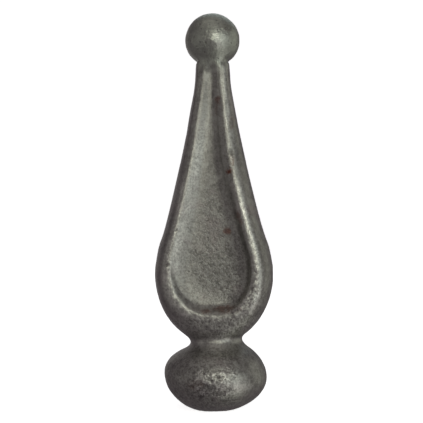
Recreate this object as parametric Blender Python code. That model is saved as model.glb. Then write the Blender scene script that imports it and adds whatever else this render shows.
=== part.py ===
# A drop-forged fence spike: ball tip, grooved stem, pear-shaped body with a spoon-shaped recess on each
# face, waist and bulb foot, all one solid. +Z is up, the front looks along -Y, and the origin is the centre
# of the small flat under the bulb, where the spike is welded to its bar.
import math

import bmesh
import bpy

MM = 0.001

# Driving sizes
HEIGHT = 150 * MM
BODY_WIDTH = 45 * MM
BODY_THICKNESS = 22 * MM  # from the front rim to the back rim
BALL_WIDTH = 20.6 * MM
BALL_HEIGHT = 20.1 * MM
FOOT_RADIUS = 8.5 * MM  # the flat under the bulb

# Bulb: each side is two quarter ellipses that meet where that side is widest. The left side, -X, is a little
# narrower and widest a little higher, because the bulb came out of its die slightly crooked.
BULB_LEFT_HALF_WIDTH = 19.0 * MM
BULB_LEFT_WIDEST_HEIGHT = 13.7 * MM
BULB_LEFT_RISE = 11.1 * MM
BULB_RIGHT_HALF_WIDTH = 19.8 * MM
BULB_RIGHT_WIDEST_HEIGHT = 11.7 * MM
BULB_RIGHT_RISE = 14.9 * MM
BULB_HALF_DEPTH = 19.3 * MM
BULB_MIDDLE_HEIGHT = (BULB_LEFT_WIDEST_HEIGHT + BULB_RIGHT_WIDEST_HEIGHT) / 2
BULB_MIDDLE_RISE = (BULB_LEFT_RISE + BULB_RIGHT_RISE) / 2

# Waist: the hollow between bulb and body
WAIST_LOW = 22.5 * MM
WAIST_HIGH = 28.3 * MM

# Body below its widest level: half an ellipse in the front view, rounded off towards the waist
BODY_WIDEST_HEIGHT = 51 * MM
BODY_DROP = 26.6 * MM

# Body and stem above the widest level, as (height, half width) or (height, half thickness)
STEM_OUTLINE = [
    (46.0 * MM, 22.1 * MM),
    (BODY_WIDEST_HEIGHT, BODY_WIDTH / 2),
    (60.0 * MM, 21.2 * MM),
    (67.4 * MM, 18.9 * MM),
    (79.0 * MM, 15.8 * MM),
    (98.0 * MM, 11.45 * MM),
    (113.0 * MM, 8.5 * MM),
    (124.5 * MM, 6.7 * MM),
    (131.5 * MM, 6.3 * MM),
]
STEM_THICKNESS = [
    (40.0 * MM, BODY_THICKNESS / 2),
    (BODY_WIDEST_HEIGHT, BODY_THICKNESS / 2),
    (60.0 * MM, 10.7 * MM),
    (79.0 * MM, 9.4 * MM),
    (98.0 * MM, 8.0 * MM),
    (113.0 * MM, 7.0 * MM),
    (131.5 * MM, 6.0 * MM),
]

# Rim of the recess, seen from the front: a flattened half ellipse below, then (height, half width) above
RIM_BOTTOM = 35.3 * MM
RIM_HALF_WIDTH = 17.15 * MM
RIM_DROP = BODY_WIDEST_HEIGHT - RIM_BOTTOM
RIM_FULLNESS = 2.2  # 2 is a plain ellipse
RIM_OUTLINE = [
    (46.0 * MM, 16.8 * MM),
    (BODY_WIDEST_HEIGHT, RIM_HALF_WIDTH),
    (56.5 * MM, 16.8 * MM),
    (64.0 * MM, 15.0 * MM),
    (78.7 * MM, 11.0 * MM),
    (97.3 * MM, 7.1 * MM),
    (112.2 * MM, 5.25 * MM),
    (125.0 * MM, 4.2 * MM),
    (131.5 * MM, 4.1 * MM),
]

# Recess: its wall sweeps down from the rim over this width to this depth
WALL_WIDTH = 7.0 * MM
RECESS_DEPTH = [
    (35.0 * MM, 4.3 * MM),
    (62.0 * MM, 4.3 * MM),
    (79.0 * MM, 3.2 * MM),
    (115.0 * MM, 2.4 * MM),
    (131.5 * MM, 2.3 * MM),
]
VALLEY_ROUNDING = 1.0 * MM
RECESS_TOP = 131.5 * MM
RECESS_RUN_OUT = 6.0 * MM

# Ball and its crisp seat on the stem
BALL_CENTRE_HEIGHT = HEIGHT - BALL_HEIGHT / 2
SEAT_LOW = 130.8 * MM
SEAT_HIGH = 131.9 * MM

# Mesh: columns in a quarter of a section, counted from the side edge to the middle of the face
CHAMFER_COLUMNS = 7
RECESS_COLUMNS = 9
COLUMN_CROWDING = 1.25  # above 1, columns crowd towards the rim
RIM_SHARE = RIM_HALF_WIDTH / (BODY_WIDTH / 2)
RIM_SAMPLES = 220
SLOPE_STEP = 0.05 * MM

# Mesh: sections up the height of each form
BULB_REACH = 14 * MM  # sections of the bulb stand at even turns of a circle of this radius
BULB_STEPS = 16
WAIST_STEPS = 6
BELOW_RIM_STEPS = 4
WALL_STEPS = 8
BODY_STEPS = 5
STEM_STEPS = 20
SEAT_STEPS = 3
BALL_STEPS = 12


def smooth_through(stations, at):
    """Value at a height, on a smooth curve through (height, value) stations that adds no bumps of its own."""
    at = min(max(at, stations[0][0]), stations[-1][0])
    gaps = [b[0] - a[0] for a, b in zip(stations, stations[1:])]
    slopes = [(b[1] - a[1]) / gap for a, b, gap in zip(stations, stations[1:], gaps)]
    tangents = [slopes[0]]
    for before, after in zip(slopes, slopes[1:]):
        turns = before * after <= 0
        tangents.append(0.0 if turns else 2 * before * after / (before + after))
    tangents.append(slopes[-1])
    i = 0
    while i < len(gaps) - 1 and at > stations[i + 1][0]:
        i += 1
    share = (at - stations[i][0]) / gaps[i]
    return hermite(
        stations[i][1], tangents[i] * gaps[i], stations[i + 1][1], tangents[i + 1] * gaps[i], share
    )


def hermite(start, start_slope, end, end_slope, share):
    square = share * share
    cube = square * share
    return (
        (2 * cube - 3 * square + 1) * start
        + (cube - 2 * square + share) * start_slope
        + (3 * square - 2 * cube) * end
        + (cube - square) * end_slope
    )


def ease(share):
    share = min(max(share, 0.0), 1.0)
    return share * share * (3 - 2 * share)


def ellipse(half_width, distance, reach):
    """Half width of an ellipse at a distance from its middle, where it reaches this far."""
    return half_width * math.sqrt(max(1 - (distance / reach) ** 2, 0.0))


def drop_to_foot(half_width, widest_height):
    """Vertical reach of the quarter ellipse that comes down to the foot's radius at height 0."""
    return widest_height / math.sqrt(1 - (FOOT_RADIUS / half_width) ** 2)


def bulb_half(height, half_width, widest_height, rise):
    reach = rise if height > widest_height else drop_to_foot(half_width, widest_height)
    return ellipse(half_width, height - widest_height, reach)


def bulb_section(height):
    """Left half width, right half width and half depth of the bulb."""
    return (
        bulb_half(height, BULB_LEFT_HALF_WIDTH, BULB_LEFT_WIDEST_HEIGHT, BULB_LEFT_RISE),
        bulb_half(height, BULB_RIGHT_HALF_WIDTH, BULB_RIGHT_WIDEST_HEIGHT, BULB_RIGHT_RISE),
        bulb_half(height, BULB_HALF_DEPTH, BULB_MIDDLE_HEIGHT, BULB_MIDDLE_RISE),
    )


def body_half_width(height):
    if height < BODY_WIDEST_HEIGHT:
        return ellipse(BODY_WIDTH / 2, height - BODY_WIDEST_HEIGHT, BODY_DROP)
    return smooth_through(STEM_OUTLINE, height)


def outline_share(across, height):
    """1 on the outline of the front view, 0 on the middle line."""
    if height < BODY_WIDEST_HEIGHT:
        return math.hypot(across / (BODY_WIDTH / 2), (BODY_WIDEST_HEIGHT - height) / BODY_DROP)
    return across / smooth_through(STEM_OUTLINE, height)


def rim_share(across, height):
    """1 on the rim of the recess, less inside it and more outside."""
    if height < BODY_WIDEST_HEIGHT:
        sideways = (across / RIM_HALF_WIDTH) ** RIM_FULLNESS
        down = ((BODY_WIDEST_HEIGHT - height) / RIM_DROP) ** RIM_FULLNESS
        return (sideways + down) ** (1 / RIM_FULLNESS)
    return across / smooth_through(RIM_OUTLINE, height)


def face_depth(across, height):
    """Half thickness of the body without its recess: level inside the rim, rounded down to the outline outside."""
    depth = smooth_through(STEM_THICKNESS, height)
    outline = outline_share(across, height)
    rim = rim_share(across, height)
    if rim <= 1:
        return depth
    return ellipse(depth, outline * (rim - 1), rim - outline)


def rim_line():
    """Points along the right half of the rim, from its bottom up to the ball."""
    points = []
    for i in range(RIM_SAMPLES):
        turn = math.radians(90) * i / RIM_SAMPLES
        across = math.sin(turn) ** (2 / RIM_FULLNESS)
        down = math.cos(turn) ** (2 / RIM_FULLNESS)
        height = BODY_WIDEST_HEIGHT - RIM_DROP * down
        points.append((RIM_HALF_WIDTH * across, height))
    for i in range(RIM_SAMPLES + 1):
        height = BODY_WIDEST_HEIGHT + (SEAT_HIGH - BODY_WIDEST_HEIGHT) * i / RIM_SAMPLES
        points.append((smooth_through(RIM_OUTLINE, height), height))
    return points


RIM_LINE = rim_line()


def recess(across, height):
    """How far the face lies below its rim."""
    rounded = math.hypot(across, VALLEY_ROUNDING)
    if rim_share(rounded, height) >= 1:
        return 0.0
    from_rim = min(math.hypot(rounded - x, height - z) for x, z in RIM_LINE)
    run_out = ease((RECESS_TOP - height) / RECESS_RUN_OUT)
    return smooth_through(RECESS_DEPTH, height) * ease(from_rim / WALL_WIDTH) * run_out


def column_across(column, half_width, rim):
    """Distance of a column from the middle, when the section has this half width and its rim stands here."""
    if column <= CHAMFER_COLUMNS:
        turn = math.radians(90) * column / CHAMFER_COLUMNS
        return rim + (half_width - rim) * math.cos(turn)
    share = (column - CHAMFER_COLUMNS) / RECESS_COLUMNS
    return rim * (1 - share**COLUMN_CROWDING)


def oval_point(column, half_width, half_depth):
    """Point of a plain oval section, as (distance across, depth)."""
    across = column_across(column, half_width, RIM_SHARE * half_width)
    return across, ellipse(half_depth, across, half_width)


def bulb_point(column, right, height):
    left_half, right_half, half_depth = bulb_section(height)
    return oval_point(column, right_half if right else left_half, half_depth)


def ball_point(column, right, height):
    radius = ellipse(BALL_WIDTH / 2, height - BALL_CENTRE_HEIGHT, BALL_HEIGHT / 2)
    return oval_point(column, radius, radius)


def body_point(column, right, height):
    half_width = body_half_width(height)
    if height < BODY_WIDEST_HEIGHT:
        rim = RIM_SHARE * half_width
    else:
        rim = smooth_through(RIM_OUTLINE, height)
    across = column_across(column, half_width, rim)
    return across, face_depth(across, height) - recess(across, height)


def between(lower, low, upper, high, column, right, height):
    """Point on the hollow that leaves one form and joins the next, smooth with both."""
    share = (height - low) / (high - low)
    start, end = lower(column, right, low), upper(column, right, high)
    before = lower(column, right, low - SLOPE_STEP)
    after = upper(column, right, high + SLOPE_STEP)
    scale = (high - low) / SLOPE_STEP
    return tuple(
        hermite(a, (a - b) * scale, c, (d - c) * scale, share)
        for a, b, c, d in zip(start, before, end, after)
    )


def section_point(column, right, height):
    if height <= WAIST_LOW:
        return bulb_point(column, right, height)
    if height < WAIST_HIGH:
        return between(bulb_point, WAIST_LOW, body_point, WAIST_HIGH, column, right, height)
    if height <= SEAT_LOW:
        return body_point(column, right, height)
    if height < SEAT_HIGH:
        return between(body_point, SEAT_LOW, ball_point, SEAT_HIGH, column, right, height)
    return ball_point(column, right, height)


def section(height):
    """A closed section, anticlockwise from the right edge, as (x, y, z) points."""
    last = CHAMFER_COLUMNS + RECESS_COLUMNS
    right = [section_point(column, True, height) for column in range(last + 1)]
    left = [section_point(column, False, height) for column in range(last + 1)]
    points = [(x, y) for x, y in right]
    points += [(-x, y) for x, y in reversed(left[:-1])]
    points += [(-x, -y) for x, y in left[1:]]
    points += [(x, -y) for x, y in reversed(right[1:-1])]
    return [(x, y, height) for x, y in points]


def steps(low, high, count):
    """Heights from low up to, and without, high."""
    return [low + (high - low) * i / count for i in range(count)]


def section_heights():
    foot_turn = -math.asin(BULB_MIDDLE_HEIGHT / BULB_REACH)
    waist_turn = math.asin((WAIST_LOW - BULB_MIDDLE_HEIGHT) / BULB_REACH)
    turns = steps(foot_turn, waist_turn, BULB_STEPS)
    heights = [BULB_MIDDLE_HEIGHT + BULB_REACH * math.sin(turn) for turn in turns]
    heights += steps(WAIST_LOW, WAIST_HIGH, WAIST_STEPS)
    heights += steps(WAIST_HIGH, RIM_BOTTOM, BELOW_RIM_STEPS)
    heights += steps(RIM_BOTTOM, RIM_BOTTOM + WALL_WIDTH, WALL_STEPS)
    heights += steps(RIM_BOTTOM + WALL_WIDTH, BODY_WIDEST_HEIGHT, BODY_STEPS)
    heights += steps(BODY_WIDEST_HEIGHT, SEAT_LOW, STEM_STEPS)
    heights += steps(SEAT_LOW, SEAT_HIGH, SEAT_STEPS)
    start = math.asin((SEAT_HIGH - BALL_CENTRE_HEIGHT) / (BALL_HEIGHT / 2))
    for i in range(BALL_STEPS):
        turn = start + (math.radians(90) - start) * i / BALL_STEPS
        heights.append(BALL_CENTRE_HEIGHT + BALL_HEIGHT / 2 * math.sin(turn))
    return heights


def forge_spike(name):
    """One closed loft of unlike sections, with a flat foot and a pole on the ball."""
    mesh = bmesh.new()
    rings = [[mesh.verts.new(point) for point in section(height)] for height in section_heights()]
    mesh.faces.new(reversed(rings[0]))
    for lower, upper in zip(rings, rings[1:]):
        for i, corner in enumerate(lower):
            after = (i + 1) % len(lower)
            mesh.faces.new((corner, lower[after], upper[after], upper[i]))
    pole = mesh.verts.new((0, 0, HEIGHT))
    top = rings[-1]
    for i, corner in enumerate(top):
        mesh.faces.new((corner, top[(i + 1) % len(top)], pole))
    data = bpy.data.meshes.new(name)
    mesh.to_mesh(data)
    mesh.free()
    data.shade_smooth()
    data.set_sharp_from_angle(angle=math.radians(50))
    return bpy.data.objects.new(name, data)


def forged_steel():
    """Dark grey hot-forged mild steel, with its thin mill scale."""
    material = bpy.data.materials.new("forged_mild_steel")
    material.use_nodes = True
    shader = material.node_tree.nodes["Principled BSDF"]
    shader.inputs["Base Color"].default_value = (0.16, 0.155, 0.145, 1)
    shader.inputs["Metallic"].default_value = 0.9
    shader.inputs["Roughness"].default_value = 0.5
    return material


def clear_scene():
    for thing in list(bpy.data.objects):
        bpy.data.objects.remove(thing, do_unlink=True)


def main():
    clear_scene()
    collection = bpy.data.collections.new("forged_fence_spike")
    bpy.context.scene.collection.children.link(collection)
    spike = forge_spike("forged_spike")
    spike.data.materials.append(forged_steel())
    collection.objects.link(spike)


main()
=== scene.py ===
import math

import bpy
import numpy as np
from mathutils import Matrix, Vector


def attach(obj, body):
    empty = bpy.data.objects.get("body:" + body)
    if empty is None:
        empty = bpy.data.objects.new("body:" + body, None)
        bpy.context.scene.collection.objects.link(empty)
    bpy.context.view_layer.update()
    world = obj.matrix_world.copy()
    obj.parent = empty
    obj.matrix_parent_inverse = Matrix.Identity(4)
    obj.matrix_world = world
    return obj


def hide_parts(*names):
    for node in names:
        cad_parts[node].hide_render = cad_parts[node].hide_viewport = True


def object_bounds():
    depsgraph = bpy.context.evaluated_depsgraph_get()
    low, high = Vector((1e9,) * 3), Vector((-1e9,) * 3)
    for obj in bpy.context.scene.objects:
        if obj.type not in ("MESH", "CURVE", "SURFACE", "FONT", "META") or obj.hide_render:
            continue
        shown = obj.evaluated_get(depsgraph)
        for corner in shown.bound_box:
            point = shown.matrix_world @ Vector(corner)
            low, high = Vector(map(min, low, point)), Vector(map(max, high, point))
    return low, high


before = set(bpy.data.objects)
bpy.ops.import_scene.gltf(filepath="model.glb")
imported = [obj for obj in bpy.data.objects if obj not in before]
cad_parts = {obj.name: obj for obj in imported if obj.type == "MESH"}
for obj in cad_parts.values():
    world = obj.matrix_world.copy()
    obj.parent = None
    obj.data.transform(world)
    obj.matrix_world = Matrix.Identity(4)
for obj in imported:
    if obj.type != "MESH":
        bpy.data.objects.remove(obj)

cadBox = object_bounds()
mm = 0.001
print("frame loaded")

# Form. All in millimetres: x to the right, y to the back, z up, with the origin under the foot.
# The sizes of the solid are repeated here, and the recess is refined as the photographed face shows it.
# A list of pairs gives a value at each height, and a smooth curve runs through them.
# A zone is one or two pairs: a place where something fades out, and the way from there to where it is full.
spike = {
    "height": 150.0,
    "bodyHalfWidth": 22.5,
    "bodyWidestHeight": 51.0,
    "bodyDrop": 26.6,
    "ballHalfWidth": 10.3,
    "ballHalfHeight": 10.05,
    "ballSeat": (130.8, 131.9),
    "footRadius": 8.5,
    "footRounding": 0.5,
    "footEdgeHeight": 0.12,
    "bulbLeft": (19.0, 13.7, 11.1),  # half width, height where it is widest, rise from there
    "bulbRight": (19.8, 11.7, 14.9),
    "bulbFace": (19.3, 12.7, 13.0),
    "waist": (22.5, 28.3),
    "stemOutline": [
        (46.0, 22.1), (51.0, 22.5), (60.0, 21.2), (67.4, 18.9), (79.0, 15.8),
        (98.0, 11.45), (113.0, 8.5), (124.5, 6.7), (131.5, 6.3),
    ],
    "stemThickness": [
        (40.0, 11.0), (51.0, 11.0), (60.0, 10.7), (79.0, 9.4), (98.0, 8.0), (113.0, 7.0), (131.5, 6.0),
    ],
    "plainFullness": 2.0,  # of the outline below its widest: 2 is a plain ellipse, and more is squarer
    "rimHalfWidth": 17.15,
    "rimDrop": 15.7,
    "rimFullness": {"plain": 2.2, "frontLeft": 2.35, "frontRight": 2.8},
    "rimDrift": {  # how far each rim strays from the true outline, as a share
        "plain": [(35.0, 1.0), (131.5, 1.0)],
        "frontLeft": [(46.0, 1.0), (58.0, 1.02), (78.0, 1.05), (90.0, 1.11), (131.5, 1.15)],
        "frontRight": [
            (35.0, 1.0), (41.0, 0.98), (78.0, 0.97), (88.0, 0.91),
            (98.0, 0.84), (108.0, 0.84), (118.0, 0.88), (131.5, 0.9),
        ],
    },
    "rimOutline": [
        (46.0, 16.8), (51.0, 17.15), (56.5, 16.8), (64.0, 15.0), (78.7, 11.0),
        (97.3, 7.1), (112.2, 5.25), (125.0, 4.2), (131.5, 4.1),
    ],
    "rimLand": {  # width of the level top of the rim
        "plain": [(35.0, 0.4), (41.0, 0.8), (46.0, 1.3), (60.0, 1.3), (80.0, 0.7), (105.0, 0.1)],
        "frontLeft": [
            (35.0, 0.4), (38.0, 1.4), (42.0, 2.0), (46.0, 2.0),
            (51.0, 1.5), (60.0, 1.4), (80.0, 0.7), (105.0, 0.1),
        ],
        "frontRight": [
            (35.0, 0.4), (41.0, 0.8), (46.0, 1.4), (60.0, 1.5), (80.0, 0.9), (105.0, 0.8), (131.5, 0.6),
        ],
    },
    "wornLand": (1.8, 35.0, 20.0),  # front right: extra width, place in degrees below the middle, spread
    "wallWidth": {  # how far the wall of the recess reaches in from the rim
        "left": [
            (36.0, 2.5), (41.0, 2.2), (46.0, 1.4), (52.0, 1.5), (60.0, 2.5), (70.0, 2.9),
            (88.0, 3.4), (98.0, 3.2), (108.0, 3.2), (118.0, 3.7), (131.5, 4.0),
        ],
        "right": [
            (36.0, 2.8), (41.0, 2.3), (46.0, 1.9), (57.0, 1.9), (66.0, 2.4), (78.0, 2.8),
            (88.0, 2.6), (98.0, 2.1), (108.0, 2.0), (131.5, 2.0),
        ],
    },
    "wallShare": {  # how much of the depth the wall has; the rest is the gentle hollow of the floor
        "left": [
            (38.0, 0.66), (46.0, 0.54), (54.0, 0.50), (66.0, 0.74), (78.0, 0.9),
            (98.0, 0.92), (108.0, 0.94), (118.0, 1.0), (131.5, 1.0),
        ],
        "right": [
            (40.0, 0.86), (46.0, 0.84), (57.0, 0.68), (66.0, 0.74), (78.0, 0.9), (98.0, 1.0), (131.5, 1.0),
        ],
    },
    "hollowWidth": {  # how far the gentle hollow reaches in from the rim
        "left": [(38.0, 5.0), (43.0, 5.8), (48.0, 5.2), (57.0, 4.6), (64.0, 6.0), (78.0, 4.2), (97.0, 3.5)],
        "right": [(38.0, 4.5), (48.0, 4.5), (57.0, 5.2), (64.0, 6.0), (78.0, 4.2), (97.0, 3.5)],
    },
    "wallBlend": 12.0,  # width over which the floor changes from its left form to its right one
    "recessDepth": [
        (35.0, 4.4), (62.0, 4.4), (79.0, 3.5), (98.0, 2.5),
        (108.0, 2.15), (118.0, 1.9), (126.0, 1.5), (131.5, 1.0),
    ],
    "recessTop": ((134.0, -6.0),),
    "valleyRounding": [(60.0, 0.08), (90.0, 0.3), (110.0, 0.6), (131.5, 0.7)],  # as shares of the wall's width
    "crestRounding": [(45.0, 0.4), (60.0, 0.4), (80.0, 0.75), (98.0, 1.3), (131.5, 1.3)],  # mm
    "crestRoundingPlace": (0.4, 0.3),  # as shares of the rim: it fades in from the first over the second
    "chamferFullness": {  # alike at the bottom, where the corners meet
        "plain": [(42.0, 1.9), (131.5, 1.9)],
        "frontLeft": [(42.0, 1.9), (56.0, 1.7), (131.5, 1.7)],
        "frontRight": [(42.0, 1.9), (78.0, 1.9), (98.0, 2.3), (108.0, 2.6), (131.5, 2.5)],
    },
    "evened": {"waistAndNeck": 60, "crest": 5, "floor": 40},  # rounds of evening out, each over about 0.4 mm
    "evenedAt": {  # zones by height
        "waist": ((15.0, 5.0), (36.0, -4.0)),
        "neck": ((124.0, 4.0), (139.0, -4.0)),
        "crest": ((32.0, 2.0), (72.0, -10.0)),
        "floor": ((36.0, 2.0), (131.0, -4.0)),
        "lowFloor": ((54.0, -8.0),),
        "stem": ((72.0, 12.0),),
    },
    "evenedFace": (1.5, 0.4),  # how sharply front and back are told from the side edges, and from where
    "evenedCrest": (1.0, 1.8),  # how far inside the rim, and how wide
    "evenedFloor": (1.5, 2.0, 4.0),  # start inside the rim, further in low down, and length of the fade
    "evenedStem": 0.75,  # how much less the stem's groove is evened out
    "rimReach": 17.0,  # mm from the middle to the rim at most, to turn a share of the rim into mm
}
grid = {
    "front": (24, 52),  # columns from the side edge to the rim, and from the rim to the middle
    "back": (12, 20),
    "levels": 450,
    "rimSamples": 180,
    "outlineSamples": 6001,
    "outlineSmoothing": 40,  # samples to each side, 1 mm
    "slopeStep": 0.05,  # over which the slope at a join is measured
    "crestLooks": ((-1.6, 0.11), (-0.8, 0.24), (0, 0.30), (0.8, 0.24), (1.6, 0.11)),  # places and weights
}


def hermite(start, startSlope, end, endSlope, share):
    square = share * share
    cube = square * share
    return (
        (2 * cube - 3 * square + 1) * start + (cube - 2 * square + share) * startSlope
        + (3 * square - 2 * cube) * end + (cube - square) * endSlope
    )


def smoothThrough(stations, at):
    # a smooth curve through (height, value) stations that adds no bumps of its own
    x, y = np.array(stations, float).T
    gaps = np.diff(x)
    slopes = np.diff(y) / gaps
    product, total = slopes[:-1] * slopes[1:], slopes[:-1] + slopes[1:]
    inner = np.where(product > 0, 2 * product / np.where(product > 0, total, 1), 0)
    tangents = np.concatenate((slopes[:1], inner, slopes[-1:]))
    at = np.clip(at, x[0], x[-1])
    i = np.clip(np.searchsorted(x, at, side="right") - 1, 0, len(gaps) - 1)
    return hermite(y[i], tangents[i] * gaps[i], y[i + 1], tangents[i + 1] * gaps[i], (at - x[i]) / gaps[i])


def ease(share):
    share = np.clip(share, 0, 1)
    return share * share * (3 - 2 * share)


def within(at, zone):
    # 1 inside the zone and 0 outside, with an eased edge at each end that the zone names
    share = 1
    for start, way in zone:
        share = share * ease((at - start) / way)
    return share


def rightSide(x, width):
    # 0 on the left and 1 on the right, blended over the width
    return ease(x / width + 0.5)


def faceOn(x, y, sharpness, start):
    # 1 at the front and the back, 0 at the side edges
    return ease(np.abs(y) / np.maximum(np.hypot(x, y), 1e-6) * sharpness - start)


def bell(distance, spread):
    return np.exp(-((distance / spread) ** 2))


def ellipse(halfWidth, distance, reach):
    return halfWidth * np.sqrt(np.maximum(1 - (distance / reach) ** 2, 0))


def bulbHalf(height, form):
    halfWidth, widest, rise = form
    drop = widest / math.sqrt(1 - (spike["footRadius"] / halfWidth) ** 2)
    return ellipse(halfWidth, height - widest, np.where(height > widest, rise, drop))


def bodyHalfWidth(height):
    low = ellipse(spike["bodyHalfWidth"], height - spike["bodyWidestHeight"], spike["bodyDrop"])
    return np.where(height < spike["bodyWidestHeight"], low, smoothThrough(spike["stemOutline"], height))


def shareOf(across, height, halfWidth, drop, fullness, outline):
    # 1 on a line round the face, less inside it: a flattened half ellipse below, a given outline above
    below = np.maximum(spike["bodyWidestHeight"] - height, 0)
    low = ((across / halfWidth) ** fullness + (below / drop) ** fullness) ** (1 / fullness)
    return np.where(below > 0, low, across / smoothThrough(outline, height))


def rimDrift(height, corner):
    return smoothThrough(spike["rimDrift"][corner], height)


def rimShare(across, height, corner):
    across = across / rimDrift(height, corner)
    fullness = spike["rimFullness"][corner]
    return shareOf(across, height, spike["rimHalfWidth"], spike["rimDrop"], fullness, spike["rimOutline"])


def faceDepth(across, height, corner):
    depth = smoothThrough(spike["stemThickness"], height)
    form = spike["bodyHalfWidth"], spike["bodyDrop"], spike["plainFullness"], spike["stemOutline"]
    outline = shareOf(across, height, *form)
    rim = rimShare(across, height, corner)
    share = np.clip(outline * (rim - 1) / np.maximum(rim - outline, 1e-6), 0, 1)
    fullness = smoothThrough(spike["chamferFullness"][corner], height)
    chamfer = depth * (1 - share ** fullness) ** (1 / fullness)
    return np.where(rim <= 1, depth, chamfer)


def rimLine(corner):
    # points up one side of the rim, each with the width of the level land inside it
    fullness = spike["rimFullness"][corner]
    turn = np.radians(90) * np.arange(grid["rimSamples"]) / grid["rimSamples"]
    x = spike["rimHalfWidth"] * np.sin(turn) ** (2 / fullness)
    z = spike["bodyWidestHeight"] - spike["rimDrop"] * np.cos(turn) ** (2 / fullness)
    above = np.linspace(spike["bodyWidestHeight"], spike["ballSeat"][1], grid["rimSamples"])
    x = np.concatenate((x, smoothThrough(spike["rimOutline"], above)))
    z = np.concatenate((z, above))
    x = x * rimDrift(z, corner)
    land = smoothThrough(spike["rimLand"][corner], z)
    if corner == "frontRight":
        extra, place, spread = spike["wornLand"]
        below = np.degrees(np.arctan2(spike["bodyWidestHeight"] - z, x))
        land = land + extra * bell(below - place, spread)
    return x, z, land


def recess(x, height, face):
    # how deep the face is hollowed: a wall round the edge, then a gentle hollow to the middle
    height = np.broadcast_to(height, x.shape)
    inside = np.where(x > 0, *(rimShare(np.abs(x), height, face[side]) for side in ("right", "left"))) < 1
    across, level = x[inside], height[inside]
    walls, hollows = [], []
    for side, sign in (("right", 1), ("left", -1)):
        lineX, lineZ, land = rimLine(face[side])
        away = (np.hypot(sign * across[:, None] - lineX, level[:, None] - lineZ) - land).min(axis=1)
        away = np.maximum(away, 0)
        walls.append(away / smoothThrough(spike["wallWidth"][side], level))
        hollows.append(away / smoothThrough(spike["hollowWidth"][side], level))
    blend = smoothThrough(spike["valleyRounding"], level)
    nearer = -blend * np.log(np.exp(-walls[0] / blend) + np.exp(-walls[1] / blend))
    byRight, byLeft = (smoothThrough(spike["wallShare"][side], level) for side in ("right", "left"))
    wallShare = byLeft + (byRight - byLeft) * rightSide(across, spike["wallBlend"])
    wall = (1 - bell(np.maximum(nearer, 0), 1)) * wallShare
    hollow = (1 - bell(np.minimum(*hollows), 1)) * (1 - wallShare)
    runOut = within(level, spike["recessTop"])
    depth = np.zeros(height.shape)
    depth[inside] = smoothThrough(spike["recessDepth"], level) * (wall + hollow) * runOut
    return depth


def acrossAt(counts, halfWidth, rim):
    # distances from the middle: crowded at the side edge, then even from the rim to the middle
    chamfer, inner = counts
    turn = np.radians(90) * np.arange(chamfer + 1) / chamfer
    share = np.arange(1, inner + 1) / inner
    outer = rim + (halfWidth - rim) * np.cos(turn)
    return np.concatenate((outer, rim * (1 - share)), axis=1)


def oval(counts, halfWidth, halfDepth):
    across = acrossAt(counts, halfWidth, halfWidth * spike["rimHalfWidth"] / spike["bodyHalfWidth"])
    return across, ellipse(halfDepth, across, np.maximum(halfWidth, 1e-9))


def quarter(heights, right, front):
    # distance across and depth of one quarter of every section, from the side edge to the middle
    counts = grid["front" if front else "back"]
    face = {"right": "frontRight", "left": "frontLeft"} if front else {"right": "plain", "left": "plain"}
    corner = face["right" if right else "left"]
    side = 1 if right else -1

    def bulb(height):
        halfWidth = bulbHalf(height, spike["bulbRight" if right else "bulbLeft"])
        return oval(counts, halfWidth, bulbHalf(height, spike["bulbFace"]))

    def body(height):
        halfWidth = bodyHalfWidth(height)
        low = halfWidth * spike["rimHalfWidth"] / spike["bodyHalfWidth"]
        rim = np.where(height < spike["bodyWidestHeight"], low, smoothThrough(spike["rimOutline"], height))
        rim = rim * rimDrift(height, corner)
        across = acrossAt(counts, halfWidth, rim)
        start, fade = spike["crestRoundingPlace"]
        spread = smoothThrough(spike["crestRounding"], height) * ease((across / rim - start) / fade)
        spread = np.minimum(spread, 0.5 * (halfWidth - across))
        depth = 0
        for step, weight in grid["crestLooks"]:
            at = across + step * spread
            depth = depth + weight * (faceDepth(at, height, corner) - recess(side * at, height, face))
        return across, depth

    def ball(height):
        middle = spike["height"] - spike["ballHalfHeight"]
        radius = ellipse(spike["ballHalfWidth"], height - middle, spike["ballHalfHeight"])
        return oval(counts, radius, radius)

    def between(lower, upper, span, height):
        # runs on smoothly from the form below to the form above
        step = grid["slopeStep"]
        low, high = np.array([[span[0]]]), np.array([[span[1]]])
        scale = (span[1] - span[0]) / step
        share = (height - span[0]) / (span[1] - span[0])
        ends = zip(lower(low), lower(low - step), upper(high), upper(high + step))
        return [hermite(a, (a - b) * scale, c, (d - c) * scale, share) for a, b, c, d in ends]

    waist, seat = spike["waist"], spike["ballSeat"]
    edges = np.searchsorted(heights, (waist[0], waist[1], seat[0], seat[1]))
    parts = np.split(heights[:, None], edges)
    made = [
        bulb(parts[0]), between(bulb, body, waist, parts[1]), body(parts[2]),
        between(body, ball, seat, parts[3]), ball(parts[4]),
    ]
    return [np.concatenate(both) for both in zip(*made)]


def levelHeights():
    # even steps along the outline, so that the bulb's underside and the ball's top are as fine as the rest
    fine = np.linspace(0, spike["height"], grid["outlineSamples"])
    ballMiddle = spike["height"] - spike["ballHalfHeight"]
    ball = ellipse(spike["ballHalfWidth"], fine - ballMiddle, spike["ballHalfHeight"])
    bulb = bulbHalf(np.minimum(fine, spike["waist"][0]), spike["bulbFace"])
    half = np.where(fine > spike["ballSeat"][1], ball, bodyHalfWidth(fine))
    half = np.where(fine < spike["waist"][1], bulb, half)
    reach = grid["outlineSmoothing"]
    window = np.ones(2 * reach + 1) / (2 * reach + 1)
    half = np.convolve(np.pad(half, reach, "edge"), window, "valid")
    pace = np.hypot(np.diff(fine), np.diff(half))
    along = np.concatenate(([0], np.cumsum(pace)))
    return np.interp(np.linspace(0, along[-1], grid["levels"] + 1)[:-1], along, fine)


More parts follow.
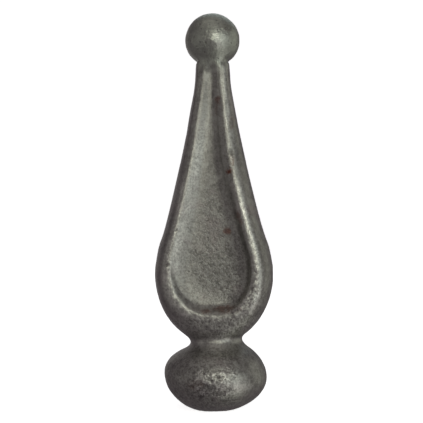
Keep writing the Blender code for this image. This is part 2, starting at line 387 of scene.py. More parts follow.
def sections():
    # every section as one ring: back right, back left, front left, front right
    heights = levelHeights()
    rb, lb = quarter(heights, True, False), quarter(heights, False, False)
    rf, lf = quarter(heights, True, True), quarter(heights, False, True)
    x = np.concatenate((rb[0], -lb[0][:, -2::-1], -lf[0][:, 1:], rf[0][:, -2:0:-1]), axis=1)
    y = np.concatenate((rb[1], lb[1][:, -2::-1], -lf[1][:, 1:], -rf[1][:, -2:0:-1]), axis=1)
    z = np.repeat(heights[:, None], x.shape[1], axis=1)
    return np.stack((x, y, z), axis=2)


def soften(points, share, rounds, bothWays):
    # evens out the depth over neighbouring points, by the given share
    for _ in range(rounds):
        depth = points[..., 1]
        near = depth.copy()
        near[1:-1] = (depth[:-2] + 2 * depth[1:-1] + depth[2:]) / 4
        if bothWays:
            near = (np.roll(near, 1, axis=1) + 2 * near + np.roll(near, -1, axis=1)) / 4
        points[..., 1] += (near - depth) * share
    return points


def rimShareAt(points):
    x, y, z = (points[..., i] for i in range(3))
    onRight = rimShare(np.abs(x), z, "frontRight")
    onFront = np.where(x > 0, onRight, rimShare(np.abs(x), z, "frontLeft"))
    return np.where(y < 0, onFront, rimShare(np.abs(x), z, "plain"))


def shaped(points):
    # softens the waist and the neck front and back, then the crest of the rim,
    # then the corners in the floor of the recess
    x, y, z = (points[..., i].copy() for i in range(3))
    rounds = spike["evened"]
    at = {name: within(z, zone) for name, zone in spike["evenedAt"].items()}
    ends = (at["waist"] + at["neck"]) * faceOn(x, y, *spike["evenedFace"])
    soften(points, ends, rounds["waistAndNeck"], False)
    inside = (1 - rimShareAt(points)) * np.minimum(spike["rimReach"], smoothThrough(spike["rimOutline"], z))
    place, spread = spike["evenedCrest"]
    soften(points, bell(inside - place, spread) * at["crest"], rounds["crest"], True)
    start, further, fade = spike["evenedFloor"]
    floor = ease((inside - start - further * at["lowFloor"]) / fade) * at["floor"]
    floor *= 1 - spike["evenedStem"] * at["stem"]
    return soften(points, floor, rounds["floor"], True)


# Surface of the forging: undulation from the die, rough scale, worn crests, painted highlights, dents and
# flaked scale.
surface = {
    "undulation": (0.09, 11.0, 3),  # depth and size in mm, and seed
    "lumps": (0.045, 3.2, 11),
    "grain": (0.04, 1.1, 23),
    "crest": (0.07, 1.3, 31),
    "floorCalm": 0.6,  # how much less the floor of the recess undulates
    "crestLumps": {"everywhere": 0.7, "lowCrest": 0.6, "wornPatch": 0.8},  # how lumpy the crest of the rim is
    "partingLine": (0.10, 0.8),  # height and width
    "floorTilt": 0.045,  # the recess is a little deeper to the right, mm a mm
    "waistFill": (1.0, 29.0, 3.2),  # depth, height and spread: fuller front and back than at the sides
    "neckFill": (0.5, 130.4, 2.4),
    "fillFace": (1.6, 0.6),  # how sharply front and back are told from the side edges, and from where
    "front": ((2.0, -4.0),),  # zone by y
    "heights": {  # zones by height
        "body": ((29.0, 4.0), (133.0, -4.0)),
        "stem": ((72.0, 20.0),),
        "belowStem": ((95.0, -30.0),),  # where the floor of the recess is wide
        "lowFace": ((27.0, 3.0), (36.5, -2.5)),  # between the waist and the rim
        "bulb": ((25.0, -4.0),),
        "ball": ((128.0, 6.0),),
        "handled": ((126.0, 6.0),),  # the ball, and its neck
        "crestTop": ((134.0, -5.0),),
        "crestFoot": ((39.0, -3.0),),  # where the rim runs across below the recess
        "aboveFoot": ((36.0, 8.0),),
        "lowCrest": ((60.0, -20.0),),
        "lowLeft": ((64.0, -10.0),),
        "leftInset": ((37.0, 5.0),),
        "leftWall": ((46.0, 10.0), (119.0, -24.0)),
        "partingLine": ((2.0, 6.0), (146.0, -6.0)),
    },
    "sideBlend": 3.0,  # width over which left changes to right
    "rimReach": 16.0,  # mm from the middle to the rim below its widest place
    "crestInset": {"everywhere": -0.1, "stem": -1.0, "foot": -0.4, "left": 0.7},  # of the wear; plus is inward
    "crestWidth": {"everywhere": 1.3, "stem": 0.7, "lowLeft": 0.4},
    "crestWearAndHighlight": {"everywhere": 0.85, "right": 0.35, "stem": 0.75, "stemRight": 0.05},  # rubbed wear and painted highlight, the right share being painted highlight on the lit side; the last two come off
    "leftWallHighlight": (2.6, 2.0, 2.3),  # painted highlight on the left wall of the recess, which faces the light: how far inside the rim, how wide, how strong
    "faceBrightening": 0.35,  # how much lighter the face is between the waist and the rim, and on the left wall, where it is painted highlight
    "wornPatch": (12.0, 41.0, 8.0, 1.15),  # worn land at the lower right, also lightened as a painted highlight: x, z, spread, strength
    "wornPatchRim": ((1.12, -0.1), (0.72, 0.1)),  # zone by share of the rim
    "wearMottle": (0.7, 0.3, 2.2, 71),  # least, unevenness, size, seed
    "floorEdge": ((-2.0, -3.0),),  # zone by distance from the rim
    "coarse": {  # how coarse the scale is
        "everywhere": 0.45, "floor": 0.33, "lowFace": 0.6, "wornPatch": 0.5,
        "bulb": 0.7, "bulbSmoother": 0.8, "ball": 0.9,
    },
    "bulbRubbedSide": ((7.0, 4.0),),  # zone by x where the bulb is smoother
    "ragged": (1.1, 0.4, (41, 43)),  # size, reach and seeds of the unevenness of every dent and stain
    "dentReach": 1.25,
    "deepDent": 0.2,  # a dent of this depth in mm is as dark as a pit
    "rustReach": 1.6,
    "flakePatch": (1.0, 12.0, 9.5, 6.4),  # middle x, z and half sizes on the front of the bulb
    "flakeEdge": (0.25, 3.5, 53, (0.75, 0.2)),  # raggedness, its size and seed, then start and length of fade
    "flakePlates": (1.6, 1.4, 61, (0.1, 0.16)),  # size, flatness, seed, then the step at the edge of a plate
    "flakeCracks": (1.3, 1.3, 67, 0.09),  # size beside the plates', flatness, seed, width
    "flakeDepth": 0.07,
    "crackDepth": 0.10,
    "plateWear": 0.75,
    "dents": [  # x, z, half width, half height, depth on the front
        (7.3, 96.6, 1.4, 1.3, 0.22),  # break in the right ridge
        (-16.6, 54.9, 0.8, 1.0, 0.22),  # notch in the left rim
        (14.6, 45.9, 0.7, 0.9, 0.25),  # nick at the wall's edge
        (16.0, 52.5, 0.6, 0.8, 0.12),
        (-13.3, 67.7, 0.6, 0.6, 0.16),
        (-1.7, 137.4, 0.7, 0.7, 0.20),
        (2.7, 14.4, 0.7, 0.5, 0.30),
        (0.2, 13.0, 0.9, 0.6, 0.26),
        (7.2, 37.0, 0.9, 0.5, 0.20),
        (6.0, 32.7, 0.7, 0.6, 0.16),
        (2.3, 32.0, 0.6, 0.5, 0.14),
        (-1.5, 33.6, 0.7, 0.5, 0.14),
        (11.7, 40.4, 0.6, 0.5, 0.14),
        (13.6, 43.0, 0.5, 0.6, 0.14),
        (12.6, 41.6, 0.5, 0.4, 0.12),
        (9.4, 38.3, 0.6, 0.4, 0.14),
        (-4.6, 12.0, 1.5, 0.9, 0.14),
        (8.6, 5.4, 1.6, 0.35, 0.22),
        (4.0, 5.4, 1.2, 0.35, 0.16),
    ],
    "wearAndPaintedHighlight": [  # painted highlights on the front, on the waist, the bulb and the ball: x, z, half width, half height, strength
        (1.5, 26.0, 7.5, 1.7, 0.65),
        (8.5, 11.0, 4.0, 4.5, 0.55),
        (2.8, 139.6, 3.6, 3.2, 0.70),
    ],
    "rustAndPaintedShade": [  # stains on the front, one of them also painted shade: x, z, half width, half height, strength
        (2.2, 116.3, 0.9, 1.6, 0.75),
        (1.8, 113.2, 0.6, 2.2, 0.25),
        (6.6, 90.0, 1.0, 1.1, 1.0),
        (7.4, 93.9, 1.0, 1.5, 0.55),
        (7.4, 108.0, 0.9, 2.6, 0.35),
        (9.6, 73.0, 0.9, 1.2, 0.5),
        (10.7, 71.0, 0.8, 1.0, 0.4),
        (5.5, 67.2, 1.2, 1.2, 0.75),
        (-2.5, 37.5, 1.6, 0.7, 0.55),
        # rust, widened and darkened as painted shade at the foot of the recess wall
        (5.0, 38.3, 4.5, 1.1, 0.60),
        (-5.5, 11.4, 2.6, 1.6, 0.30),
        (6.2, 143.5, 1.6, 1.3, 0.15),
    ],
}
stirring = (73856093, 19349663, 83492791, 2654435761)  # large odd numbers that scatter neighbouring cells
mixing = ((13, 1274126177), (16, 2246822519))  # shifts and factors that mix their bits further
allBits = 0xFFFFFFFF


def randomAt(cells, seed):
    # one fixed random number from -1 to 1 for each whole-numbered cell
    a, b, c = (cells[..., i].astype(np.int64) for i in range(3))
    mixed = (a * stirring[0]) ^ (b * stirring[1]) ^ (c * stirring[2]) ^ (seed * stirring[3])
    for shift, factor in mixing:
        mixed = (mixed ^ (mixed >> shift)) * factor & allBits
    return (mixed ^ (mixed >> 15)) / allBits * 2 - 1


def noise(points, size, seed, octaves=2):
    total, weight = 0, 1.0
    for octave in range(octaves):
        at = points / size * 2**octave + 17.3 * seed  # every seed reads another part of space
        cell = np.floor(at)
        share = ease(at - cell)
        value = 0
        for corner in np.ndindex(2, 2, 2):
            corner = np.array(corner)
            near = np.where(corner, share, 1 - share).prod(axis=-1)
            value = value + near * randomAt(cell + corner, seed + octave)
        total = total + value * weight
        weight *= 0.5
    return total


def outwardNormals(points):
    across = np.roll(points, -1, axis=1) - np.roll(points, 1, axis=1)
    up = np.gradient(points, axis=0)
    normal = np.cross(across, up)
    return normal / np.maximum(np.linalg.norm(normal, axis=2, keepdims=True), 1e-12)


def relief(points):
    # how far each point stands out of the plain form, and the masks that the finish reads
    x, y, z = points[..., 0], points[..., 1], points[..., 2]
    at = {name: within(z, zone) for name, zone in surface["heights"].items()}
    front, stem = within(y, surface["front"]), at["stem"]
    right = rightSide(x, surface["sideBlend"])
    left = 1 - right
    # the worn patch is also lightened as a painted highlight
    patchX, patchZ, patchSpread, patchWearAndHighlight = surface["wornPatch"]
    wornPatch = bell(np.hypot(x - patchX, z - patchZ), patchSpread) * front

    # the crest of the rim, where it is rubbed and also lightened as a painted highlight, more on the lit right
    # side: rim is 1 on its line, fromCrest is the distance in mm
    rim = rimShareAt(points)
    below = z < spike["bodyWidestHeight"]
    fromCrest = (rim - 1) * np.where(below, surface["rimReach"], smoothThrough(spike["rimOutline"], z))
    inset, width, wearAndHighlight = surface["crestInset"], surface["crestWidth"], surface["crestWearAndHighlight"]
    inward = inset["left"] * left * front * at["leftInset"] * (1 - stem)
    place = fromCrest + inward + inset["everywhere"] + inset["stem"] * stem + inset["foot"] * at["crestFoot"]
    crest = bell(place, width["everywhere"] + width["stem"] * stem + width["lowLeft"] * left * at["lowLeft"])
    # painted highlight: the right crest is made lighter than the left, as the light falls from the right
    strength = wearAndHighlight["everywhere"] + wearAndHighlight["right"] * right * at["aboveFoot"]
    crest *= at["body"] * at["crestTop"] * (strength - stem * (wearAndHighlight["stem"] + wearAndHighlight["stemRight"] * right))
    # painted highlight on the left wall of the recess, the side that faces the light
    wallInset, wallSpread, wallHighlight = surface["leftWallHighlight"]
    leftWall = bell(fromCrest + wallInset, wallSpread) * left * front * at["leftWall"]
    floor = within(fromCrest, surface["floorEdge"]) * at["body"]

    # how coarse the scale is
    coarse = surface["coarse"]
    rough = coarse["everywhere"] + coarse["floor"] * floor * at["belowStem"]
    rough += coarse["lowFace"] * at["lowFace"] + coarse["wornPatch"] * wornPatch
    smoother = coarse["bulbSmoother"] * within(x, surface["bulbRubbedSide"])
    rough += coarse["bulb"] * at["bulb"] * (1 - smoother) + coarse["ball"] * at["ball"]

    def layer(name):
        depth, size, seed = surface[name]
        return depth * noise(points, size, seed)

    out = layer("undulation") * (1 - surface["floorCalm"] * floor) + (layer("lumps") + layer("grain")) * rough
    lumps = surface["crestLumps"]
    lumpy = lumps["everywhere"] + lumps["lowCrest"] * at["lowCrest"] + lumps["wornPatch"] * wornPatch
    out += layer("crest") * crest * lumpy
    out -= surface["floorTilt"] * x * floor * front * at["belowStem"]
    for depth, height, spread in (surface["waistFill"], surface["neckFill"]):
        out += depth * bell(z - height, spread) * faceOn(x, y, *surface["fillFace"])

    # a trace of the trimmed flash down both side edges
    lineHeight, lineWidth = surface["partingLine"]
    out += lineHeight * bell(y, lineWidth) * at["partingLine"]

    size, reach, seeds = surface["ragged"]
    wander = np.stack([noise(points, size, seed) for seed in seeds], axis=-1) * reach

    def raggedAway(markX, markZ, halfWidth, halfHeight):
        # distance from the middle of a mark, 1 at its edge
        return np.hypot((x - markX) / halfWidth + wander[..., 0], (z - markZ) / halfHeight + wander[..., 1])

    pits = 0
    for *mark, depth in surface["dents"]:
        pits = pits + depth * ease(surface["dentReach"] - raggedAway(*mark)) * front
    out -= pits

    # scale that has flaked off the bulb in plates, with steps at their edges and cracks between them
    flakeX, flakeZ, halfWidth, halfHeight = surface["flakePatch"]
    ragged, size, seed, (start, fade) = surface["flakeEdge"]
    away = np.hypot((x - flakeX) / halfWidth, (z - flakeZ) / halfHeight) + ragged * noise(points, size, seed)
    patch = (1 - ease((away - start) / fade)) * front * at["bulb"]
    plateSize, flatness, seed, (start, fade) = surface["flakePlates"]
    step = ease((noise(points * (1, 1, flatness), plateSize, seed, 3) + start) / fade)
    share, flatness, seed, width = surface["flakeCracks"]
    cracks = bell(noise(points * (1, 1, flatness), plateSize * share, seed), width)
    out -= patch * (surface["flakeDepth"] * (1 - step) + surface["crackDepth"] * cracks)

    rustAndPaintedShade = 0
    for *mark, strength in surface["rustAndPaintedShade"]:
        rustAndPaintedShade = np.maximum(rustAndPaintedShade, strength * ease(surface["rustReach"] - raggedAway(*mark)) * front)
    # wear on the crests and the worn patch, with painted highlights added to it
    wearAndPaintedHighlight = np.maximum(crest, patchWearAndHighlight * wornPatch * within(rim, surface["wornPatchRim"]))
    # lighter between the waist and the rim, and painted highlight on the left wall
    wearAndPaintedHighlight = np.maximum(wearAndPaintedHighlight, surface["faceBrightening"] * np.maximum(at["lowFace"], wallHighlight * leftWall))
    # painted highlights on the waist, the bulb and the ball
    for markX, markZ, halfWidth, halfHeight, strength in surface["wearAndPaintedHighlight"]:
        away = np.hypot((x - markX) / halfWidth, (z - markZ) / halfHeight)
        wearAndPaintedHighlight = np.maximum(wearAndPaintedHighlight, strength * bell(away, 1) * front)
    least, uneven, size, seed = surface["wearMottle"]
    return out, {
        # the crest attribute carries wear and painted highlights
        "crest": wearAndPaintedHighlight * (least + uneven * noise(points, size, seed)),
        "coarse": rough,
        "tip": at["handled"],
        "pitted": np.clip(pits / surface["deepDent"] + patch * cracks, 0, 1),
        "plates": patch * step * surface["plateWear"],
        "rustAndPaintedShade": rustAndPaintedShade,
    }


def buildMesh(name, points, masks):
    # rings of points joined by quads, closed by a point on top and a rounded edge and flat face below
    levels, columns = points.shape[:2]
    pole = np.array([[0, 0, spike["height"]]])
    inner = points[0] * (1 - spike["footRounding"] / spike["footRadius"])
    inner[:, 2] = 0
    points = points.copy()
    points[0, :, 2] = spike["footEdgeHeight"]
    flat = np.concatenate((points.reshape(-1, 3), pole, inner))
    index = np.arange(levels * columns).reshape(levels, columns)
    after = np.roll(index, -1, axis=1)
    faces = np.stack((index[:-1], after[:-1], after[1:], index[1:]), axis=-1).reshape(-1, 4).tolist()
    top = levels * columns
    faces += [(a, b, top) for a, b in zip(index[-1].tolist(), after[-1].tolist())]
    foot = np.arange(columns) + top + 1
    faces += np.stack((foot, np.roll(foot, -1), after[0], index[0]), axis=-1).tolist()
    faces.append(foot[::-1].tolist())
    data = bpy.data.meshes.new(name)
    data.from_pydata((flat * mm).tolist(), [], faces)
    data.shade_smooth()
    for label, values in masks.items():
        spread = np.concatenate((values.reshape(-1), values[-1, :1], values[0]))
        data.attributes.new(label, "FLOAT", "POINT").data.foreach_set("value", spread.astype(np.float32))
    return data


plain = shaped(sections())
print("plain form", plain.shape)
out, masks = relief(plain)
low, high = np.array(cadBox[0]) / mm, np.array(cadBox[1]) / mm
dressed = np.clip(plain + outwardNormals(plain) * out[..., None], low, high)
spikeData = buildMesh("forgedSpike", dressed, masks)
spikePiece = bpy.data.objects.new("forgedSpike", spikeData)
bpy.context.scene.collection.objects.link(spikePiece)
print("forged surface", len(spikeData.vertices), "points")


def linear(colour):
    # sRGB hex to linear light
    parts = [int(colour[i:i + 2], 16) / 255 for i in (1, 3, 5)]
    return [p / 12.92 if p <= 0.04045 else ((p + 0.055) / 1.055) ** 2.4 for p in parts] + [1.0]


def addNode(tree, kind, settings=None, links=None):
    # a setting is the node's own if it has one of that name, and otherwise a socket's value
    node = tree.nodes.new(kind)
    for name, value in (settings or {}).items():
        if isinstance(name, str) and hasattr(node, name):
            setattr(node, name, value)
        else:
            node.inputs[name].default_value = value
    for name, source in (links or {}).items():
        tree.links.new(source, node.inputs[name])
    return node


def perMetre(size):
    # scale of a pattern whose repeat is this many mm
    return 1 / (size * mm)


steel = {
    "scaleDark": "#6e6b67",
    "scaleLight": "#a9a8a1",
    "scaleViolet": "#857a7a",
    "tip": "#a6ab9e",  # the ball is handled most, and its scale is thin and greenish grey
    # light colour of rubbed steel, also used for the painted highlights
    "wornAndHighlight": "#dcdbd2",
    "pit": "#45413f",
    # rust colours, also used for the painted shade at the foot of the recess wall
    "rustAndPaintedShade": ("#4a312b", "#70473a"),
    "clouds": {  # size in mm, detail, roughness, distortion
        "patch": (13.0, 3, 0.6, 0.4),  # thicker and thinner scale
        "mottle": (2.4, 4, 0.65, 0.3),  # blotches in the scale
        "grain": (0.75, 3, 0.6, 0.2),  # really about 0.1 mm, drawn as coarse as two points of the picture
    },
    "pitSpacing": 1.5,  # mm
    "pitEdge": (0.12, 0.34),  # as shares of the spacing
    "pitChoice": 0.55,  # cells with a random number above this have a pit
    "pitDark": 0.45,
    "pitShare": 0.6,  # how far every pit, dent and crack goes towards the pit colour
    "patchShare": 0.35,  # how much the patches and the grain count beside the mottling
    "speckleShare": 1.2,
    "toneRange": (0.28, 1.08),  # the sum of the three that is darkest scale, and lightest
    "violetRange": (0.54, 0.70),
    "violetShare": 0.4,
    "tipShare": 0.65,
    "speckRange": (0.38, 0.60),
    "speckLeast": 0.35,  # how rubbed the places between the specks are
    "stainRange": (0.3, 0.55),
    "metallic": 0.95,
    "roughness": (0.38, 0.51),
    "roughnessRange": (0.3, 0.7),  # the mottling that gives the least roughness, and the most
    "roughnessChange": {"wornAndHighlight": -0.08, "tip": -0.06, "rustAndPaintedShade": 0.2},
    "grainHeight": 0.15,  # mm
    "mottleHeight": 0.5,  # beside the grain's
    "pitHeight": -0.35,
}


def hotForgedMildSteel():
    # Hot-forged mild steel with its own mill scale: a dull dark grey skin that shines softly where it has been
    # rubbed and where highlights are painted on, with a fine grain, darker where the scale is thick, brown
    # where it has begun to rust, with painted shade at the foot of the recess.
    material = bpy.data.materials.new("hot-forged mild steel with mill scale")
    material.use_nodes = True
    tree = material.node_tree
    shader = tree.nodes["Principled BSDF"]
    shader.inputs["Metallic"].default_value = steel["metallic"]
    share, under, over, mixed = 0, 6, 7, 2  # sockets of a colour mix: its factor, its two colours, its result
    place = addNode(tree, "ShaderNodeTexCoord").outputs["Object"]
    masks = {}
    for name in ("crest", "plates", "pitted", "rustAndPaintedShade", "coarse", "tip"):
        masks[name] = addNode(tree, "ShaderNodeAttribute", {"attribute_name": name}).outputs["Fac"]

    # three sizes of unevenness, and small pits where the scale has popped off
    clouds = {}
    for name, (size, detail, roughness, distortion) in steel["clouds"].items():
        clouds[name] = addNode(tree, "ShaderNodeTexNoise", {
            "Scale": perMetre(size), "Detail": detail, "Roughness": roughness, "Distortion": distortion,
        }, {"Vector": place}).outputs[0]
    cells = addNode(tree, "ShaderNodeTexVoronoi", {"Scale": perMetre(steel["pitSpacing"])}, {"Vector": place})
    near = addNode(tree, "ShaderNodeMapRange", {
        "interpolation_type": "SMOOTHSTEP", "To Min": 1.0, "To Max": 0.0,
        "From Min": steel["pitEdge"][0], "From Max": steel["pitEdge"][1],
    }, {"Value": cells.outputs["Distance"]})
    chosen = addNode(tree, "ShaderNodeMath", {
        "operation": "GREATER_THAN", 1: steel["pitChoice"],
    }, {0: cells.outputs["Color"]})
    pits = addNode(tree, "ShaderNodeMath", {"operation": "MULTIPLY"}, {
        0: near.outputs[0], 1: chosen.outputs[0],
    })
    pits = addNode(tree, "ShaderNodeMath", {"operation": "MULTIPLY"}, {0: pits.outputs[0], 1: masks["coarse"]})
    darkPits = addNode(tree, "ShaderNodeMath", {"operation": "MULTIPLY", 1: steel["pitDark"]}, {
        0: pits.outputs[0],
    })

    # base colour: mottled scale, its grain strongest where the surface is coarse
    broad = addNode(tree, "ShaderNodeMath", {"operation": "MULTIPLY_ADD", 1: steel["patchShare"]}, {
        0: clouds["patch"], 2: clouds["mottle"],
    })
    centred = addNode(tree, "ShaderNodeMath", {"operation": "SUBTRACT", 1: 0.5}, {0: clouds["grain"]})
    speckle = addNode(tree, "ShaderNodeMath", {"operation": "MULTIPLY"}, {
        0: centred.outputs[0], 1: masks["coarse"],
    })
    tone = addNode(tree, "ShaderNodeMath", {"operation": "MULTIPLY_ADD", 1: steel["speckleShare"]}, {
        0: speckle.outputs[0], 2: broad.outputs[0],
    })
    tone = addNode(tree, "ShaderNodeMapRange", {
        "interpolation_type": "SMOOTHSTEP",
        "From Min": steel["toneRange"][0], "From Max": steel["toneRange"][1],
    }, {"Value": tone.outputs[0]})
    colour = addNode(tree, "ShaderNodeMix", {
        "data_type": "RGBA", under: linear(steel["scaleDark"]), over: linear(steel["scaleLight"]),
    }, {share: tone.outputs[0]})
    violet = addNode(tree, "ShaderNodeMapRange", {
        "interpolation_type": "SMOOTHSTEP", "To Max": steel["violetShare"],
        "From Min": steel["violetRange"][0], "From Max": steel["violetRange"][1],
    }, {"Value": clouds["patch"]})
    colour = addNode(tree, "ShaderNodeMix", {"data_type": "RGBA", over: linear(steel["scaleViolet"])}, {
        share: violet.outputs[0], under: colour.outputs[mixed],
    })
    tip = addNode(tree, "ShaderNodeMath", {"operation": "MULTIPLY", 1: steel["tipShare"]}, {0: masks["tip"]})
    colour = addNode(tree, "ShaderNodeMix", {"data_type": "RGBA", over: linear(steel["tip"])}, {
        share: tip.outputs[0], under: colour.outputs[mixed],
    })

    # crests and the tops of the flakes are rubbed brighter, with painted highlights on the waist, the bulb,
    # the ball, the left wall and the lit crests, in specks that follow the grain
    wornAndHighlight = addNode(tree, "ShaderNodeMath", {"operation": "MAXIMUM"}, {0: masks["crest"], 1: masks["plates"]})
    specks = addNode(tree, "ShaderNodeMapRange", {
        "interpolation_type": "SMOOTHSTEP", "To Min": steel["speckLeast"],
        "From Min": steel["speckRange"][0], "From Max": steel["speckRange"][1],
    }, {"Value": clouds["grain"]})
    wornAndHighlight = addNode(tree, "ShaderNodeMath", {"operation": "MULTIPLY"}, {
        0: wornAndHighlight.outputs[0], 1: specks.outputs[0],
    })
    colour = addNode(tree, "ShaderNodeMix", {"data_type": "RGBA", over: linear(steel["wornAndHighlight"])}, {
        share: wornAndHighlight.outputs[0], under: colour.outputs[mixed],
    })
    pitted = addNode(tree, "ShaderNodeMath", {"operation": "MAXIMUM"}, {
        0: masks["pitted"], 1: darkPits.outputs[0],
    })
    pitted = addNode(tree, "ShaderNodeMath", {"operation": "MULTIPLY", 1: steel["pitShare"]}, {
        0: pitted.outputs[0],
    })
    colour = addNode(tree, "ShaderNodeMix", {"data_type": "RGBA", over: linear(steel["pit"])}, {
        share: pitted.outputs[0], under: colour.outputs[mixed],
    })

    # rust stains, one of them also painted shade at the foot of the recess wall, broken up by the mottling
    stain = addNode(tree, "ShaderNodeMapRange", {
        "interpolation_type": "SMOOTHSTEP",
        "From Min": steel["stainRange"][0], "From Max": steel["stainRange"][1],
    }, {"Value": clouds["mottle"]})
    stain = addNode(tree, "ShaderNodeMath", {"operation": "MULTIPLY"}, {0: masks["rustAndPaintedShade"], 1: stain.outputs[0]})
    rustAndPaintedShade = addNode(tree, "ShaderNodeMix", {
        "data_type": "RGBA", under: linear(steel["rustAndPaintedShade"][0]), over: linear(steel["rustAndPaintedShade"][1]),
    }, {share: specks.outputs[0]})
    colour = addNode(tree, "ShaderNodeMix", {"data_type": "RGBA"}, {
        share: stain.outputs[0], under: colour.outputs[mixed], over: rustAndPaintedShade.outputs[mixed],
    })
    tree.links.new(colour.outputs[mixed], shader.inputs["Base Color"])

    # gloss: smoother where rubbed and on the ball, duller where rusty
    gloss = addNode(tree, "ShaderNodeMapRange", {
        "From Min": steel["roughnessRange"][0], "From Max": steel["roughnessRange"][1],
        "To Min": steel["roughness"][0], "To Max": steel["roughness"][1],
    }, {"Value": clouds["mottle"]})
    for name, mask in (("wornAndHighlight", wornAndHighlight.outputs[0]), ("tip", masks["tip"]), ("rustAndPaintedShade", stain.outputs[0])):
        gloss = addNode(tree, "ShaderNodeMath", {
            "operation": "MULTIPLY_ADD", 1: steel["roughnessChange"][name],
        }, {0: mask, 2: gloss.outputs[0]})
    tree.links.new(gloss.outputs[0], shader.inputs["Roughness"])

    # fine relief of the scale, in metres
    height = addNode(tree, "ShaderNodeMath", {"operation": "MULTIPLY_ADD", 1: steel["mottleHeight"]}, {
        0: clouds["mottle"], 2: clouds["grain"],
    })
    height = addNode(tree, "ShaderNodeMath", {"operation": "MULTIPLY_ADD", 1: steel["pitHeight"]}, {
        0: pits.outputs[0], 2: height.outputs[0],
    })
    depth = addNode(tree, "ShaderNodeMath", {"operation": "MULTIPLY", 1: steel["grainHeight"] * mm}, {
        0: masks["coarse"],
    })
    bump = addNode(tree, "ShaderNodeBump", {"Strength": 1.0}, {
        "Distance": depth.outputs[0], "Height": height.outputs[0],
    })
    tree.links.new(bump.outputs[0], shader.inputs["Normal"])
    return material


spikeData.materials.append(hotForgedMildSteel())
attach(spikePiece, "root")
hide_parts("forged_spike")
print("steel finish")

# Studio: a round sweep of pale paper, soft lights and the camera at the photograph's angle.
# Lengths in metres, angles in degrees.
studio = {
    "paper": "#f4f4f3",
    "paperGlow": ("#ffffff", 0.86),  # colour and strength
    "paperRoughness": 0.95,
    "floorRadius": 1.6,
    "wallHeight": 2.4,
    "bendRadius": 0.8,
    "bendSteps": 12,
    "rings": (18, 0.02, 1.25),  # their number, the first one's radius and the growth from each to the next
    "sides": 96,
    "worldColour": (0.165, 0.146, 0.161),
    "cameraAzimuth": 4.0,  # to the right of straight on
    "cameraRoll": 0.37,
    "cameraDistance": 0.400,
    "cameraHeight": 0.075,
    "sensorWidth": 36.0,  # in mm, as Blender takes it
    "focalPixels": 1049.0,
    "framePixels": 423,
    "sightPixel": (213.5, 210.7),  # where the middle of the axis falls in the frame
    "nearestSeen": 0.01,
    "aimHeight": 0.07,  # the lights look at this height on the spike
    "lights": [
        # name, azimuth and height angle seen from the spike, distance, width, height, power in W, colour
        ("key", 49.0, 1.0, 0.9, 0.65, 0.75, 1.25, (0.91, 1.00, 0.95)),
        ("front", 14.0, 18.0, 0.9, 0.35, 0.35, 1.34, (0.97, 1.00, 0.88)),
        ("left", -60.0, 4.0, 0.9, 0.80, 0.90, 0.40, (0.99, 1.00, 0.93)),
        ("low", 58.0, -34.0, 0.9, 0.60, 0.40, 0.87, (1.00, 0.99, 0.96)),
        ("under", 72.0, -62.0, 0.9, 0.50, 0.50, 0.22, (0.87, 1.00, 0.77)),
        ("top", 0.0, 76.0, 0.9, 0.9, 0.7, 0.76, (1.00, 0.98, 0.91)),
        ("back", 172.0, 42.0, 1.1, 0.8, 0.6, 0.90, (0.85, 1.00, 1.00)),
        ("right", 114.0, 6.0, 1.1, 0.6, 1.2, 1.31, (0.95, 1.00, 0.86)),
        ("rear", 205.0, 5.0, 1.1, 0.6, 0.9, 0.45, (1.00, 1.00, 0.95)),
    ],
}


def paperSweep():
    # floor, a quarter bend and a wall, all round, so that every view has the same pale ground
    radius, bend, steps, sides = (studio[name] for name in ("floorRadius", "bendRadius", "bendSteps", "sides"))
    rings, first, growth = studio["rings"]
    profile = [(first * growth**i, 0.0) for i in range(rings)]
    for i in range(steps + 1):
        turn = math.radians(90) * i / steps
        profile.append((radius + bend * math.sin(turn), bend * (1 - math.cos(turn))))
    profile.append((radius + bend, studio["wallHeight"]))
    turns = [2 * math.pi * k / sides for k in range(sides)]
    points = [(0.0, 0.0, 0.0)]
    for r, z in profile:
        points += [(r * math.cos(turn), r * math.sin(turn), z) for turn in turns]
    faces = [(0, 1 + k, 1 + (k + 1) % sides) for k in range(sides)]
    for i in range(len(profile) - 1):
        a = 1 + i * sides
        for k in range(sides):
            after = (k + 1) % sides
            faces.append((a + k, a + sides + k, a + sides + after, a + after))
    data = bpy.data.meshes.new("paperSweep")
    data.from_pydata(points, [], faces)
    data.shade_smooth()
    return bpy.data.objects.new("paperSweep", data)


def mattPaper():
    # Matt white background paper, evenly lit: it gives a pale ground with only a faint shadow
    material = bpy.data.materials.new("matt white background paper")
    material.use_nodes = True
    shader = material.node_tree.nodes["Principled BSDF"]
    shader.inputs["Base Color"].default_value = linear(studio["paper"])
    shader.inputs["Roughness"].default_value = studio["paperRoughness"]
    shader.inputs["Specular IOR Level"].default_value = 0.0
    glow, strength = studio["paperGlow"]
    shader.inputs["Emission Color"].default_value = linear(glow)
    shader.inputs["Emission Strength"].default_value = strength
    return material


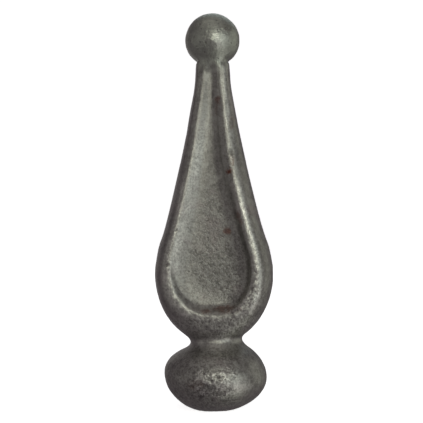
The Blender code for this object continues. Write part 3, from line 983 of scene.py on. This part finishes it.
paper = paperSweep()
paper.data.materials.append(mattPaper())
paper.visible_glossy = False  # kept out of the steel's reflections, as if by black flags
paper.visible_diffuse = False  # and its glow kept off the steel's shaded sides
paper.visible_shadow = False  # the lights below shine up through it, as through a light table
bpy.context.scene.collection.objects.link(paper)


def softLight(name, azimuth, angle, distance, width, height, power, colour):
    lamp = bpy.data.lights.new(name, "AREA")
    lamp.shape = "RECTANGLE"
    lamp.size = width
    lamp.size_y = height
    lamp.energy = power
    lamp.color = colour
    holder = bpy.data.objects.new(name, lamp)
    back = Matrix.Rotation(math.radians(azimuth), 3, "Z") @ Matrix.Rotation(-math.radians(angle), 3, "X")
    turn = back @ Matrix.Rotation(math.radians(90), 3, "X")
    place = back.col[1] * -distance + Vector((0, 0, studio["aimHeight"]))
    holder.matrix_world = Matrix.Translation(place) @ turn.to_4x4()
    holder.visible_camera = False
    bpy.context.scene.collection.objects.link(holder)


for light in studio["lights"]:
    softLight(*light)

world = bpy.data.worlds.new("studio")
world.use_nodes = True
world.node_tree.nodes["Background"].inputs["Color"].default_value = (*studio["worldColour"], 1)
bpy.context.scene.world = world
bpy.context.scene.view_settings.view_transform = "Standard"

camera = bpy.data.cameras.new("camera")
frameSize, sight = studio["framePixels"], studio["sightPixel"]
camera.sensor_width = studio["sensorWidth"]
camera.lens = studio["focalPixels"] * studio["sensorWidth"] / frameSize
camera.shift_x = (frameSize / 2 - sight[0]) / frameSize
camera.shift_y = (sight[1] - frameSize / 2) / frameSize
camera.clip_start = studio["nearestSeen"]
cameraHolder = bpy.data.objects.new("camera", camera)
yaw = Matrix.Rotation(math.radians(studio["cameraAzimuth"]), 3, "Z")
level = yaw @ Matrix.Rotation(math.radians(90), 3, "X")
turned = level @ Matrix.Rotation(math.radians(-studio["cameraRoll"]), 3, "Z")
cameraPlace = yaw.col[1] * -studio["cameraDistance"]
cameraPlace.z = studio["cameraHeight"]
cameraHolder.matrix_world = Matrix.Translation(cameraPlace) @ turned.to_4x4()
bpy.context.scene.collection.objects.link(cameraHolder)
bpy.context.scene.camera = cameraHolder
print("studio set")
